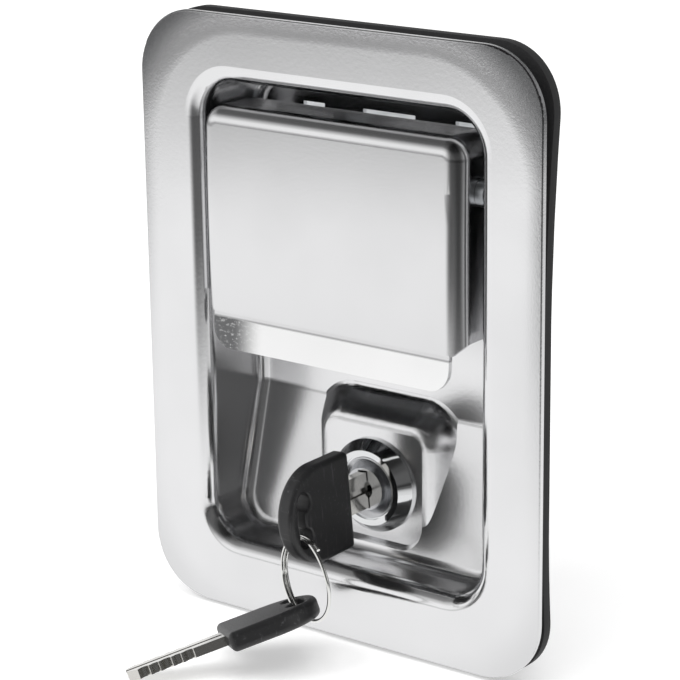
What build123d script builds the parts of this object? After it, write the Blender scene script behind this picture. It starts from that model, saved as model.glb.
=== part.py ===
from build123d import *
import os
from math import atan2, cos, hypot, radians, sin, sqrt, tan

# Flush paddle latch for a door or tool box, in millimetres.
# +X is to the right and +Z up as seen from the front; the front faces -Y.
# The origin is the centre of the flange's back face, where the weld studs stand.
# "depth" is measured from the flange's front face towards the back.

# ---- drawn pan: flange and recess ----
flange_w = 108.0
flange_h = 140.0
flange_r = 15.0
sheet = 1.2                # stainless sheet of the pan and the paddle
rim_r = 0.4                # rounded outer edge of the flange
pocket_w = 75.0            # recess, between its side walls
pocket_top = 54.4
pocket_bottom = -53.6
pocket_r = 8.5             # corners of the recess
pocket_depth = 21.0        # down to the front of the deep floor
draw_r = 4.0               # rolled edge from the flange into the recess
floor_r = 3.0              # round between the walls and the floor
bend_z = -20.6             # the floor slopes forward below this line
bend_r = 5.0
floor_slope = 15.0         # degrees

# ---- raised lock pad in the recess ----
pad_depth = 14.4
pad_w = 30.0
pad_top = -22.3
pad_bottom = -50.5
pad_r = 5.0
pad_draft = 38.0           # degrees, slope of the pad's walls
pad_edge_r = 3.6
pad_root_r = 2.5           # hollow round between the pad's walls and the floor
pad_low_draft = 28.0       # degrees, walls where the pad lies behind the slope

# ---- slots for the bracket's hook tabs ----
slot_z = 46.4              # middle of the slots
slot_h = 2.8
slot_spacing = 20.9        # middle slot to side slots
slot_w_middle = 14.2
slot_w_side = 6.0

# ---- weld studs and gasket ----
stud_side = 8.5            # studs, from the flange's side edges
stud_end = 11.0            # and from its top and bottom edges
stud_r = 2.5
stud_length = 12.5
stud_hole_gap = 1.2        # lets a nut's collar into the gasket
gasket_t = 2.5
gasket_gap = 0.3           # round the rolled edge of the recess
gasket_flat_low = -30.0    # the gasket lies on the flange between these heights
gasket_flat_high = 5.0
gasket_lift_low = 2.6      # how far its ends stand off
gasket_lift_high = 4.6

# ---- paddle and its pivot ----
paddle_gap = 2.2           # between the paddle and the recess's side walls
paddle_top_gap = 4.8
paddle_crease = 2.5        # the finger lip starts here
paddle_side_low = 5.0      # the side flanges end here
paddle_proud = 2.75        # face in front of the flange
paddle_crown = 0.4
paddle_flange_depth = 10.5
paddle_edge_r = 4.0
paddle_corner_r = 5.0
lip_inset = 3.0            # the lip is narrower than the paddle by this at each side
lip_low = -5.7
lip_corner_r = 5.0
lip_flare = 4.0            # degrees
pivot_depth = 5.7
pivot_z = 37.3
pin_r = 2.0
pin_head_r = 3.2
pin_seat_r = 4.0           # flat coined in the wall under the pin's head and clip
bush_r = 3.2
running_gap = 0.05
side_gap = 0.1             # between pieces that turn side by side

# ---- arm on the paddle, lever and bolt ----
spring_wire_r = 0.6
spring_turns = 4
spring_left = 8.0
arm_t = 3.0
arm_offset = 20.5          # from the middle to the arm's near side
arm_nose_r = 3.0
arm_base_w = 14.0
arm_base_t = 2.0
arm_base_h = 12.0
arm_gap = 0.3              # nose to lever at rest
window_side_gap = 3.0
window_low = 19.0
window_high = 43.5
lever_t = 3.0
lever_space = 2.5          # between the recess's floor and the lever
lever_hub_r = 7.0
lever_half = 4.0           # half height of the input arm
lever_drop = 22.0          # pivot to drive pin
lever_end_r = 5.5
lever_tip = 26.0           # pivot to the end of the input arm
post_r = 4.0
drive_pin_r = 2.5
drive_pin_gap = 0.4
bolt_h = 14.0
bolt_t = 10.5
bolt_nose = -58.0
bolt_right = 14.0
bolt_bevel = 12.0
bolt_slide_gap = 0.3
tail_w = 8.0
tail_right = -6.0
tail_low = -19.0
tail_lap = 0.2             # the tail comes this far past the cam's front face
spring_bore_r = 3.9
spring_bore_depth = 8.0
bolt_wire_r = 0.45
bolt_spring_turns = 8
notch_depth = 6.0
guide_r = 2.0
guide_tip = 19.0           # where the spring guide ends

# ---- rear bracket ----
bracket_t = 1.5
bracket_w = 57.0
bracket_low = -13.0
bracket_inner_depth = 18.0  # floor to the inside of the web
bracket_bend_r = 2.5
foot_w = 12.0
foot_low = -1.0
foot_h = 14.0
rivet_r = 2.0
rivet_x = 22.5
rivet_z = 6.0
web_window_w = 12.0
web_window_h = 13.0

# ---- cam lock ----
lock_z = -37.6
plug_r = 7.2
barrel_wall = 2.3          # round the plug
barrel_flat_wall = 0.8     # at the barrel's two flats
barrel_length = 20.4
bezel_lap = 1.6            # the bezel is wider than the barrel by this
bezel_land = 1.7           # its front face round the plug
bezel_rim = 0.8
bezel_h = 3.3
plug_groove = 0.4
keyway_gap = 0.2           # each side of the blade
keyway_end_gap = 0.25      # at the blade's edges
keyway_eye_r = 2.3         # round relief in the middle of the keyway
keyway_eye_depth = 1.2
plug_boss_r = 5.0
plug_boss_h = 0.8          # boss in front of the bezel's ring
plug_dish_depth = 1.3      # of the cone round the boss
nut_wall = 1.5             # barrel's thread to the nut's flats
nut_t = 4.0
washer_t = 1.0
shank_square = 8.0
cam_t = 2.2
cam_length = 24.0
cam_hub_r = 8.0
cam_tip_w = 8.0
cam_screw_r = 2.0
wafer_count = 5
wafer_pitch = 2.6
wafer_first = 4.5          # behind the pad's front face
wafer_t = 1.0
wafer_w = 5.6
wafer_reach = 0.4          # its ends inside the plug's skin

# ---- keys and ring ----
key_lean = 5.0             # degrees that the key is turned in the lock
key_head_w = 22.6
key_head_length = 22.2
key_head_t = 4.5
key_edge_r = 1.3
key_slot_r = 7.4
key_slot_w = 2.6
key_slot_arc = 33.0        # degrees each side of the middle
key_slot_end_r = 2.2       # round ends of the slot, wider than its middle
key_corner_r = 1.2
key_head_depth = 3.0       # front edge of the head, from the flange's front
blade_w = 8.4
blade_t = 2.2
blade_length = 22.7
blade_tang = 7.0
blade_cut = 0.8
blade_lead = 2.2           # tapered end of the blade
ring_r = 9.5
ring_wire_r = 0.42
ring_gap = 0.06            # between its two turns
ring_heading = -21.3       # degrees, the ring's plane turned about Z
ring_hang = 32.0           # degrees below the slot's middle where the ring passes it
ring_shift = 2.48          # from there to the ring's middle, along its plane
ring_split = 100.0         # degrees of the ring with one strand, where it crosses over
ring_start = 60.0          # degrees round the ring where the wire starts
spare_place = 228.0        # degrees round the ring where the spare key hangs
spare_hang = 31.0          # degrees off the middle of the spare key's slot
spare_slack = 0.25         # the ring lies this far off the slot's middle line
spare_blade = Vector(-0.590, -0.763, -0.265)
spare_up = Vector(-0.397, -0.024, 0.919)

# ---- worked out from the sizes above ----
front_y = -sheet
floor_front = front_y + pocket_depth
floor_back = floor_front + sheet
pad_front = front_y + pad_depth
pad_back = pad_front + sheet
pivot_y = front_y + pivot_depth
paddle_face = front_y - paddle_proud
paddle_w = pocket_w - 2 * paddle_gap
paddle_top = pocket_top - paddle_top_gap
lip_w = paddle_w - 2 * lip_inset
wall_x = pocket_w / 2
stud_x = flange_w - 2 * stud_side
stud_z = flange_h - 2 * stud_end
web_inner = floor_back + bracket_inner_depth
web_outer = web_inner + bracket_t
arm_right = -arm_offset
arm_left = arm_right - arm_t
lever_front = floor_back + lever_space
lever_back = lever_front + lever_t
nose_y = (lever_front + lever_back) / 2
lever_z = pivot_z - arm_nose_r - arm_gap - lever_half
drive_z = lever_z - lever_drop
bolt_back = web_inner - bolt_slide_gap
bolt_front = bolt_back - bolt_t
bolt_low = drive_z - bolt_h / 2
spring_y = (bolt_front + bolt_back) / 2
barrel_r = plug_r + barrel_wall
barrel_flats = 2 * (plug_r + barrel_flat_wall)
bezel_r = barrel_r + bezel_lap
bezel_face_r = plug_r + bezel_land
nut_af = 2 * (barrel_r + nut_wall)
barrel_back = pad_front + barrel_length
cam_front = barrel_back + 0.4
cam_back = cam_front + cam_t
lock_face = pad_front - bezel_h
pin_hole_r = pin_r + running_gap
coil_r = pin_r + spring_wire_r + 0.3
tail_t = bolt_back - cam_front + tail_lap
keyway_w = blade_t + 2 * keyway_gap
keyway_h = blade_w + 2 * keyway_end_gap
wafer_h = 2 * (plug_r - wafer_reach)
key_edge_y = front_y + key_head_depth
ring_pitch = 2 * ring_wire_r + ring_gap


def slab(sketch, y_front, y_back):
    """A sketch drawn as seen from the front, made solid between two depths."""
    return extrude(Plane.XZ.offset(-y_back) * sketch, amount=y_back - y_front, dir=(0, -1, 0))


def bar(profile, x_left, x_right):
    """A side profile (Y, Z), made solid between two places across."""
    return extrude(Plane.YZ.offset(x_left) * profile, amount=x_right - x_left, dir=(1, 0, 0))


def pin_along_y(radius, y_front, y_back, x=0.0, z=0.0):
    return slab(Pos(x, z) * Circle(radius), y_front, y_back)


def pin_along_x(radius, x_left, x_right, y, z):
    return bar(Pos(y, z) * Circle(radius), x_left, x_right)


def block(x_left, x_right, y_front, y_back, z_low, z_high):
    size = (x_right - x_left, y_back - y_front, z_high - z_low)
    middle = ((x_left + x_right) / 2, (y_front + y_back) / 2, (z_low + z_high) / 2)
    return Pos(*middle) * Box(*size)


def edges_at(shape, axis, place, limit_x=1e6, limit_z=1e6):
    """Edges that lie in one plane, no further out than the limits."""
    near = shape.edges().filter_by_position(axis, place - 0.01, place + 0.01)
    return [
        e for e in near
        if abs(e.center().X) < limit_x and abs(e.center().Z) < limit_z
    ]


def pad_wall(grow):
    """Depth and spread along the pad's wall: round edge, straight draft, hollow root."""
    turn = radians(90 - pad_draft)
    set_in = pad_edge_r * tan(turn / 2)
    reach = (floor_front - pad_front) * tan(radians(pad_draft)) + pad_root_r * tan(turn / 2)
    edge = pad_edge_r - grow
    root = pad_root_r + grow
    points = []
    for share in (0.0, 0.3, 0.65, 1.0):
        a = share * turn
        points.append((pad_front + pad_edge_r - edge * cos(a), edge * sin(a) - set_in))
    for share in (1.0, 0.7, 0.4, 0.15):
        a = share * turn
        points.append((floor_front - pad_root_r + root * cos(a), reach - root * sin(a)))
    return points


def pad_block(grow):
    """Material side of the lock pad, lofted through the outlines along its wall."""
    low = pad_bottom - 12.0

    def section(depth, extra):
        width = pad_w + 2 * extra
        height = pad_top - low + 2 * extra
        outline = Pos(0, (pad_top + low) / 2) * RectangleRounded(width, height, pad_r + extra)
        return Plane.XZ.offset(-depth) * outline

    wall = pad_wall(grow)
    body = loft([section(depth, extra) for depth, extra in wall])
    depth, extra = wall[-1]
    return body + extrude(section(depth, extra), amount=3.0, dir=(0, 1, 0))


def pad_recess(grow):
    """Space in front of the pad where it lies behind the sloping floor."""
    y_face = pad_front + grow
    floor_low = floor_front - (bend_z - pad_bottom) * tan(radians(floor_slope))
    y_mouth = floor_low - 1.25 * floor_r
    swell = grow / cos(radians(pad_low_draft)) - grow * tan(radians(pad_low_draft))
    spread = (y_face - y_mouth) * tan(radians(pad_low_draft))
    half = pad_w / 2 - pad_edge_r / 2 + swell
    top = pad_top
    low = pad_bottom - swell

    def section(extra):
        height = top - low + extra
        return Pos(0, (top + low - extra) / 2) * RectangleRounded(
            2 * (half + extra), height, pad_r + extra)

    return loft([
        Plane.XZ.offset(-y_face) * section(0.0),
        Plane.XZ.offset(-y_mouth) * section(spread),
    ])


def pocket(grow, mouth):
    """Space inside the drawn recess; grown by the sheet it is the recess's outer skin."""
    floor = floor_front + grow
    low = pocket_bottom - grow
    high = pocket_top + grow
    outline = Pos(0, (low + high) / 2) * RectangleRounded(
        pocket_w + 2 * grow, high - low, pocket_r + grow)
    body = slab(outline, mouth, floor)
    slope = tan(radians(floor_slope))
    kink = bend_z - grow * tan(radians(floor_slope / 2))
    under = low - 2.0
    wedge = Polygon(
        (floor, kink), (floor - (kink - under) * slope, under), (floor + 5, under),
        (floor + 5, kink), align=None)
    body -= bar(wedge, -pocket_w, pocket_w)
    kink_edge = [
        e for e in body.edges().filter_by(Axis.X)
        if abs(e.center().Z - kink) < 0.01 and abs(e.center().Y - floor) < 0.01
    ]
    body = fillet(kink_edge, bend_r + grow)
    rear = [e for e in body.edges() if e.center().Y > mouth + 1 and not is_along_y(e)]
    across = [e for e in rear if is_floor_bend(e, kink)]
    body = fillet([e for e in rear if e not in across], floor_r + grow)
    body -= pad_block(grow)
    return body + pad_recess(grow)


def is_along_y(edge):
    if edge.geom_type != GeomType.LINE:
        return False
    way = (edge @ 1) - (edge @ 0)
    return abs(way.X) < 1e-6 and abs(way.Z) < 1e-6


def is_floor_bend(edge, kink):
    """The two tangent lines of the rounded bend that cross the floor."""
    if edge.geom_type != GeomType.LINE:
        return False
    way = (edge @ 1) - (edge @ 0)
    return abs(way.Y) < 1e-6 and abs(way.Z) < 1e-6 and abs(edge.center().Z - kink) < 5


def pan():
    """Drawn sheet pan: flange, recess, lock pad and the holes that the fittings use."""
    plate = slab(RectangleRounded(flange_w, flange_h, flange_r), front_y, 0.0)
    body = plate + pocket(sheet, front_y)
    mouth_x = wall_x + sheet + 0.1
    mouth_z = pocket_top + sheet + 0.1
    body = fillet(edges_at(body, Axis.Y, 0.0, mouth_x, mouth_z), draw_r - sheet)
    body -= pocket(0.0, front_y - 1.0)
    body = fillet(edges_at(body, Axis.Y, front_y, mouth_x, mouth_z), draw_r)
    rim = [e for e in edges_at(body, Axis.Y, front_y) if is_on_outline(e)]
    body = fillet(rim, rim_r)

    cuts = [block(x - w / 2, x + w / 2, floor_front - 1, floor_back + 1, slot_z - slot_h / 2,
                  slot_z + slot_h / 2) for x, w in tab_slots()]
    cuts.append(block(arm_left - window_side_gap, arm_right + window_side_gap,
                      floor_front - 1, floor_back + 1, window_low, window_high))
    cuts.append(pin_along_x(pin_hole_r, -wall_x - 5, wall_x + 5, pivot_y, pivot_z))
    skin = wall_x + sheet
    cuts.append(pin_along_x(pin_seat_r, skin, skin + draw_r, pivot_y, pivot_z))
    cuts.append(pin_along_x(pin_seat_r, -skin - draw_r, -skin, pivot_y, pivot_z))
    cuts.append(barrel(barrel_r + side_gap, barrel_flats + 2 * side_gap,
                       pad_front - 1, pad_back + 1))
    for x in (-rivet_x, rivet_x):
        cuts.append(pin_along_y(rivet_r + running_gap, floor_front - 1, floor_back + 1, x, rivet_z))
    return body - cuts


def is_on_outline(edge):
    point = edge.center()
    return abs(point.X) > wall_x + draw_r + 1 or abs(point.Z) > pocket_top + draw_r + 1


def tab_slots():
    """Places and widths of the three slots in the deep floor."""
    return [(-slot_spacing, slot_w_side), (0.0, slot_w_middle), (slot_spacing, slot_w_side)]


def barrel(radius, flats, y_front, y_back):
    """Round bar with two flats, the lock's barrel or the hole for it."""
    outline = Circle(radius) & Rectangle(flats, 4 * radius)
    return slab(Pos(0, lock_z) * outline, y_front, y_back)


def stud_places():
    return [(sx * stud_x / 2, sz * stud_z / 2) for sx in (-1, 1) for sz in (-1, 1)]


def mounting_studs():
    """Weld studs on the back of the flange."""
    studs = []
    for x, z in stud_places():
        shank = pin_along_y(stud_r, 0.0, stud_length, x, z)
        tip = edges_at(shank, Axis.Y, stud_length)
        studs.append(chamfer(tip, 0.5))
    return studs


def gasket():
    """Rubber seal cut to the flange's outline, flat in the middle and curling off at its ends."""
    def bow(start, end, lift):
        run = abs(end - start)
        radius = (run ** 2 + lift ** 2) / (2 * lift)
        middle = 0.5 * atan2(run, radius - lift)
        along = start + (radius * sin(middle)) * (1 if end > start else -1)
        return radius * (1 - cos(middle)), along

    low, high = -flange_h / 2, flange_h / 2
    low_y, low_z = bow(gasket_flat_low, low, gasket_lift_low)
    high_y, high_z = bow(gasket_flat_high, high, gasket_lift_high)
    t = gasket_t
    front = [
        ThreePointArc((gasket_lift_low, low), (low_y, low_z), (0, gasket_flat_low)),
        Line((0, gasket_flat_low), (0, gasket_flat_high)),
        ThreePointArc((0, gasket_flat_high), (high_y, high_z), (gasket_lift_high, high)),
    ]
    back = [
        Line((gasket_lift_high, high), (gasket_lift_high + t, high)),
        ThreePointArc((gasket_lift_high + t, high), (high_y + t, high_z), (t, gasket_flat_high)),
        Line((t, gasket_flat_high), (t, gasket_flat_low)),
        ThreePointArc((t, gasket_flat_low), (low_y + t, low_z), (gasket_lift_low + t, low)),
        Line((gasket_lift_low + t, low), (gasket_lift_low, low)),
    ]
    sheet_solid = bar(make_face(Curve() + front + back), -flange_w / 2, flange_w / 2)
    opening_w = pocket_w + 2 * (draw_r + gasket_gap)
    opening_h = pocket_top - pocket_bottom + 2 * (draw_r + gasket_gap)
    opening = Pos(0, (pocket_top + pocket_bottom) / 2) * RectangleRounded(
        opening_w, opening_h, pocket_r + draw_r + gasket_gap)
    outline = RectangleRounded(flange_w, flange_h, flange_r) - opening
    for x, z in stud_places():
        outline -= Pos(x, z) * Circle(stud_r + stud_hole_gap)
    return sheet_solid & slab(outline, -1.0, stud_length)


def paddle():
    """Stamped paddle: crowned face, three rolled edges, side flanges and a finger lip."""
    def tray(inset):
        top = paddle_top - inset
        face = paddle_face + inset
        half = paddle_w / 2 - inset
        low = paddle_crease
        back = front_y + paddle_flange_depth + (5 if inset else 0)
        crown = ThreePointArc(
            (face + paddle_crown, low), (face, (low + top) / 2), (face + paddle_crown, top))
        sides = Polyline(
            (face + paddle_crown, top), (back, top), (back, low), (face + paddle_crown, low))
        body = bar(make_face(Curve() + [crown, sides]), -half, half)
        top_corners = [e for e in body.edges() if is_along_y(e) and e.center().Z > top - 0.1]
        body = fillet(top_corners, paddle_corner_r - inset)
        front_loop = [
            e for e in body.edges()
            if e.center().Y < face + paddle_crown + 0.2 and e.center().Z > low + 1
        ]
        return fillet(front_loop, paddle_edge_r - inset)

    body = tray(0.0) - tray(sheet)
    notch = paddle_w / 2 - lip_w / 2
    for side in (-1, 1):
        edge = side * (paddle_w / 2 + 1)
        inner = side * lip_w / 2
        profile = Polygon(
            (inner, 0), (inner, paddle_side_low - notch), (side * paddle_w / 2, paddle_side_low),
            (edge, paddle_side_low), (edge, 0), align=None)
        body -= slab(profile, paddle_face - 1, front_y + paddle_flange_depth + 1)
        inside = side * (paddle_w / 2 - paddle_edge_r)
        low_flange = Polygon(
            (inside, 0), (inside, paddle_side_low), (edge, paddle_side_low), (edge, 0), align=None)
        body -= slab(low_flange, paddle_face + paddle_edge_r, front_y + paddle_flange_depth + 1)

    flare = (paddle_crease - lip_low) * tan(radians(lip_flare))
    top_y = paddle_face + paddle_crown
    lip_side = Polygon(
        (top_y, paddle_crease + 0.3), (top_y + sheet, paddle_crease + 0.3),
        (top_y + sheet, paddle_crease), (top_y + sheet - flare, lip_low),
        (top_y - flare, lip_low), (top_y, paddle_crease), align=None)
    lip = bar(lip_side, -lip_w / 2, lip_w / 2)
    lip_height = paddle_crease + 10 - lip_low
    lip_outline = Pos(0, lip_low + lip_height / 2) * RectangleRounded(
        lip_w, lip_height, lip_corner_r)
    lip &= slab(lip_outline, paddle_face - 5, paddle_face + 8)
    body += lip
    return body - pin_along_x(pin_hole_r, -paddle_w, paddle_w, pivot_y, pivot_z)


def paddle_pin():
    """Headed pivot pin through the recess's side walls, grooved for its clip."""
    left = -wall_x - sheet
    right = wall_x + sheet
    body = pin_along_x(pin_r, left, right + 2.6, pivot_y, pivot_z)
    head = pin_along_x(pin_head_r, left - 1.6, left, pivot_y, pivot_z)
    head = fillet(edges_at_x(head, left - 1.6), 0.6)
    groove = pin_along_x(pin_r + 1, right + 0.5, right + 1.3, pivot_y, pivot_z)
    groove -= pin_along_x(pin_r - 0.5, right + 0.5, right + 1.3, pivot_y, pivot_z)
    return body + head - groove


def edges_at_x(shape, place):
    return shape.edges().filter_by_position(Axis.X, place - 0.01, place + 0.01)


def e_clip(inner_r, outer_r, thickness):
    """Spring clip that snaps into a groove, in the XY plane."""
    outline = Circle(outer_r) - Circle(inner_r)
    outline -= Pos(0, -outer_r) * Rectangle(1.6 * inner_r, 2 * outer_r)
    for side in (-1, 1):
        outline -= Pos(side * (outer_r + 0.2), 0) * Circle(outer_r - inner_r - 0.9)
    return extrude(outline, amount=thickness)


def pin_clip():
    groove = wall_x + sheet + 0.5
    place = Plane(origin=(groove, pivot_y, pivot_z), x_dir=(0, 1, 0), z_dir=(1, 0, 0))
    return place * e_clip(pin_r - 0.5 + running_gap, pin_seat_r - 0.2, 0.8 - running_gap)


def pivot_bushes():
    """Spacer bushes on the pin, between the paddle and the walls."""
    pieces = []
    for side in (-1, 1):
        near = side * (paddle_w / 2 + side_gap / 2)
        far = side * (wall_x - side_gap / 2)
        left, right = sorted((near, far))
        bush = pin_along_x(bush_r, left, right, pivot_y, pivot_z)
        pieces.append(bush - pin_along_x(pin_hole_r, left - 1, right + 1, pivot_y, pivot_z))
    return pieces


def paddle_arm():
    """Arm welded inside the paddle; its nose reaches through the floor to the lever."""
    base_y = paddle_face + sheet + paddle_crown * 0.7
    base = block(arm_left, arm_left + arm_base_w, base_y, base_y + arm_base_t,
                 pivot_z - arm_base_h / 2, pivot_z + arm_base_h / 2)
    nose = Pos(nose_y, pivot_z) * Circle(arm_nose_r)
    root = Pos(base_y + arm_base_h / 2, pivot_z) * Circle(arm_base_h / 2)
    shape = make_hull(nose.edges() + root.edges())
    square = Pos(base_y + arm_base_h / 4, pivot_z) * Rectangle(arm_base_h / 2, arm_base_h)
    cheek = bar(shape + square, arm_left, arm_right)
    body = base + cheek
    return body - pin_along_x(pin_hole_r, arm_left - 1, arm_left + arm_base_w, pivot_y, pivot_z)


def paddle_spring():
    """Torsion coil on the pivot pin, with a leg inside the paddle and one to the floor."""
    rise = 32.0
    pitch = 2 * spring_wire_r + 0.12
    turns = spring_turns - rise / 360
    place = Plane(origin=(spring_left, pivot_y, pivot_z), x_dir=(0, 0, 1), z_dir=(1, 0, 0))
    path = place * Helix(pitch=pitch, height=turns * pitch, radius=coil_r)
    coil = sweep(Plane(origin=path @ 0, z_dir=path % 0) * Circle(spring_wire_r), path=path)
    inside = paddle_face + sheet + paddle_crown
    reach = (path @ 1).Y - inside - spring_wire_r * sin(radians(rise)) - side_gap
    front_leg = rod(path @ 1, path % 1, reach / cos(radians(rise)))
    rear_leg = rod(path @ 0, path % 0 * -1, floor_front - pivot_y - spring_wire_r)
    return coil + front_leg + rear_leg


def rod(start, way, length):
    return extrude(Plane(origin=start, z_dir=way) * Circle(spring_wire_r), amount=length)


def latch_bracket():
    """Folded bracket behind the recess: hooked into three slots and riveted at its feet."""
    half = bracket_w / 2
    top = slot_z - slot_h / 2 + running_gap + bracket_t
    outer = block(-half, half, floor_back, web_outer, bracket_low, top)
    outer = fillet([e for e in outer.edges() if is_fold(e, web_outer, half, top)], bracket_bend_r)
    inner = block(-half + bracket_t, half - bracket_t, floor_back - 1, web_inner,
                  bracket_low - 1, top - bracket_t)
    inner = fillet(
        [e for e in inner.edges() if is_fold(e, web_inner, half - bracket_t, top - bracket_t)],
        bracket_bend_r - bracket_t)
    body = outer - inner
    for x, w in tab_slots():
        tab = w / 2 - side_gap
        body += block(x - tab, x + tab, floor_front, floor_back + 1, top - bracket_t, top)
    for side in (-1, 1):
        left, right = sorted((side * half, side * (half - foot_w)))
        body += block(left, right, floor_back, floor_back + bracket_t, foot_low, foot_low + foot_h)
        body -= pin_along_y(rivet_r + running_gap, floor_back - 1, floor_back + 4,
                            side * rivet_x, rivet_z)
    gap = bolt_slide_gap
    body -= block(-half - 1, -half + bracket_t + 1, bolt_front - gap, web_inner,
                  bolt_low - gap, bolt_low + bolt_h + gap)
    body -= pin_along_x(guide_r + running_gap, half - bracket_t - 1, half + 1, spring_y, drive_z)
    body -= pin_along_y(drive_pin_r + running_gap, web_inner - 1, web_outer + 1, 0, lever_z)
    for x in (-15.0, 15.0):
        for z in (lever_z - 2, drive_z):
            window = Pos(x, z) * RectangleRounded(web_window_w, web_window_h, 3.0)
            body -= slab(window, web_inner - 1, web_outer + 1)
    return body


def is_fold(edge, y, half, top):
    """Edges where the sheet is folded: round the web and along the top corners."""
    point = edge.center()
    on_side = abs(abs(point.X) - half) < 0.01
    on_top = abs(point.Z - top) < 0.01
    on_web = abs(point.Y - y) < 0.01
    return (on_web and (on_side or on_top)) or (on_side and on_top)


def bracket_rivets():
    """Rivets through the recess's floor and the bracket's feet."""
    pieces = []
    for x in (-rivet_x, rivet_x):
        shank = pin_along_y(rivet_r, floor_front, floor_back + bracket_t, x, rivet_z)
        head = pin_along_y(rivet_r + 1.6, floor_front - 1.2, floor_front, x, rivet_z)
        head = fillet(edges_at(head, Axis.Y, floor_front - 1.2), 0.8)
        tail_y = floor_back + bracket_t
        tail = pin_along_y(rivet_r + 1.2, tail_y, tail_y + 1.0, x, rivet_z)
        tail = fillet(edges_at(tail, Axis.Y, tail_y + 1.0), 0.6)
        pieces.append(shank + head + tail)
    return pieces


def lever_post():
    """Shouldered post riveted to the web; the lever turns on its front end."""
    body = pin_along_y(post_r, lever_back + side_gap, web_inner, 0, lever_z)
    body += pin_along_y(drive_pin_r, lever_front - 2.0, web_outer, 0, lever_z)
    head = pin_along_y(drive_pin_r + 2, web_outer, web_outer + 1.4, 0, lever_z)
    body += fillet(edges_at(head, Axis.Y, web_outer + 1.4), 0.6)
    groove = pin_along_y(drive_pin_r + 1, lever_front - 1.1, lever_front - 0.3, 0, lever_z)
    return body - (groove - pin_along_y(drive_pin_r - 0.6, lever_front - 1.1,
                                        lever_front - 0.3, 0, lever_z))


def lever_clip():
    place = Plane(origin=(0, lever_front - 0.3 - running_gap / 2, lever_z),
                  x_dir=(1, 0, 0), z_dir=(0, -1, 0))
    return place * e_clip(drive_pin_r - 0.6 + running_gap, drive_pin_r + 1.9, 0.8 - running_gap)


def release_lever():
    """Bell-crank: the paddle's arm presses its level arm, its hanging arm draws the bolt."""
    hub = Pos(0, lever_z) * Circle(lever_hub_r)
    tip = Pos(-lever_tip + lever_half, lever_z) * Circle(lever_half)
    level = Pos(-(lever_tip - lever_half) / 2, lever_z) * Rectangle(
        lever_tip - lever_half, 2 * lever_half)
    end = Pos(0, drive_z) * Circle(lever_end_r)
    hanging = make_hull(hub.edges() + end.edges())
    body = slab(hanging + level + tip, lever_front, lever_back)
    body -= pin_along_y(drive_pin_r + running_gap, lever_front - 1, lever_back + 1, 0, lever_z)
    return body - pin_along_y(drive_pin_r, lever_front - 1, lever_back + 1, 0, drive_z)


def drive_pin():
    """Pin fixed in the hanging arm, in the bolt's notch."""
    end = bolt_front + notch_depth - 0.6
    body = pin_along_y(drive_pin_r, lever_front, end, 0, drive_z)
    return chamfer(edges_at(body, Axis.Y, end), 0.4)


def latch_bolt():
    """Slam bolt with a bevelled nose, a notch for the drive pin and a tail for the cam."""
    outline = Polygon(
        (bolt_right, bolt_front), (bolt_nose, bolt_front), (bolt_nose, bolt_front + 2.2),
        (bolt_nose + bolt_bevel, bolt_back), (bolt_right, bolt_back), align=None)
    body = extrude(Plane.XY.offset(bolt_low) * outline, amount=bolt_h, dir=(0, 0, 1))
    half = drive_pin_r + drive_pin_gap
    body -= block(-half, half, bolt_front - 1, bolt_front + notch_depth,
                  drive_z - drive_pin_r - 0.8, bolt_low + bolt_h + 1)
    body -= pin_along_x(spring_bore_r, bolt_right - spring_bore_depth, bolt_right + 1,
                        spring_y, drive_z)
    tail = block(tail_right - tail_w, tail_right, bolt_back - tail_t, bolt_back,
                 tail_low, bolt_low + 1)
    tail = fillet([e for e in tail.edges() if is_along_y(e) and e.center().Z < tail_low + 1], 1.5)
    return body + tail


def bolt_spring():
    """Compression spring between the bolt's bore and the bracket's side."""
    wire = bolt_wire_r
    start = bolt_right - spring_bore_depth + side_gap
    end = bracket_w / 2 - bracket_t - side_gap
    length = end - start - 2 * wire
    helix = Helix(pitch=length / bolt_spring_turns, height=length,
                  radius=spring_bore_r - wire - 0.35)
    place = Plane(origin=(start + wire, spring_y, drive_z), x_dir=(0, 1, 0), z_dir=(1, 0, 0))
    path = place * helix
    section = Plane(origin=path @ 0, z_dir=path % 0) * Circle(wire)
    return sweep(section, path=path, is_frenet=True)


def spring_guide():
    """Headed pin in the bracket's side that keeps the bolt spring straight."""
    half = bracket_w / 2
    body = pin_along_x(guide_r, guide_tip, half, spring_y, drive_z)
    head = pin_along_x(guide_r + 1.8, half, half + 1.2, spring_y, drive_z)
    return body + fillet(edges_at_x(head, half + 1.2), 0.5)


def lock_housing():
    """Die-cast lock barrel with two flats and a bevelled bezel."""
    y = pad_front
    profile = Polygon(
        (0, y), (bezel_r, y), (bezel_r, y - bezel_rim), (bezel_face_r, lock_face),
        (0, lock_face), align=None)
    bezel = lathe(profile)
    body = bezel + barrel(barrel_r, barrel_flats, pad_front - 0.1, barrel_back)
    body -= pin_along_y(plug_r + running_gap, lock_face - 1, barrel_back + 1, 0, lock_z)
    return body - pin_along_y(plug_r + plug_groove, lock_face - 1, lock_face + 0.7, 0, lock_z)


def lathe(profile):
    """Turn a profile of (radius, Y) round the lock's axis."""
    place = Plane(origin=(0, 0, lock_z), x_dir=(1, 0, 0), z_dir=(0, 0, 1))
    return revolve(place * profile, axis=Axis((0, 0, lock_z), (0, 1, 0)), revolution_arc=360)


def in_lock(shape):
    """Put a piece drawn round the Y axis on the lock's axis, turned with the key."""
    return Pos(0, 0, lock_z) * Rot(0, -key_lean, 0) * shape


def wafer_front(index):
    return pad_front + wafer_first + index * wafer_pitch


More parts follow.
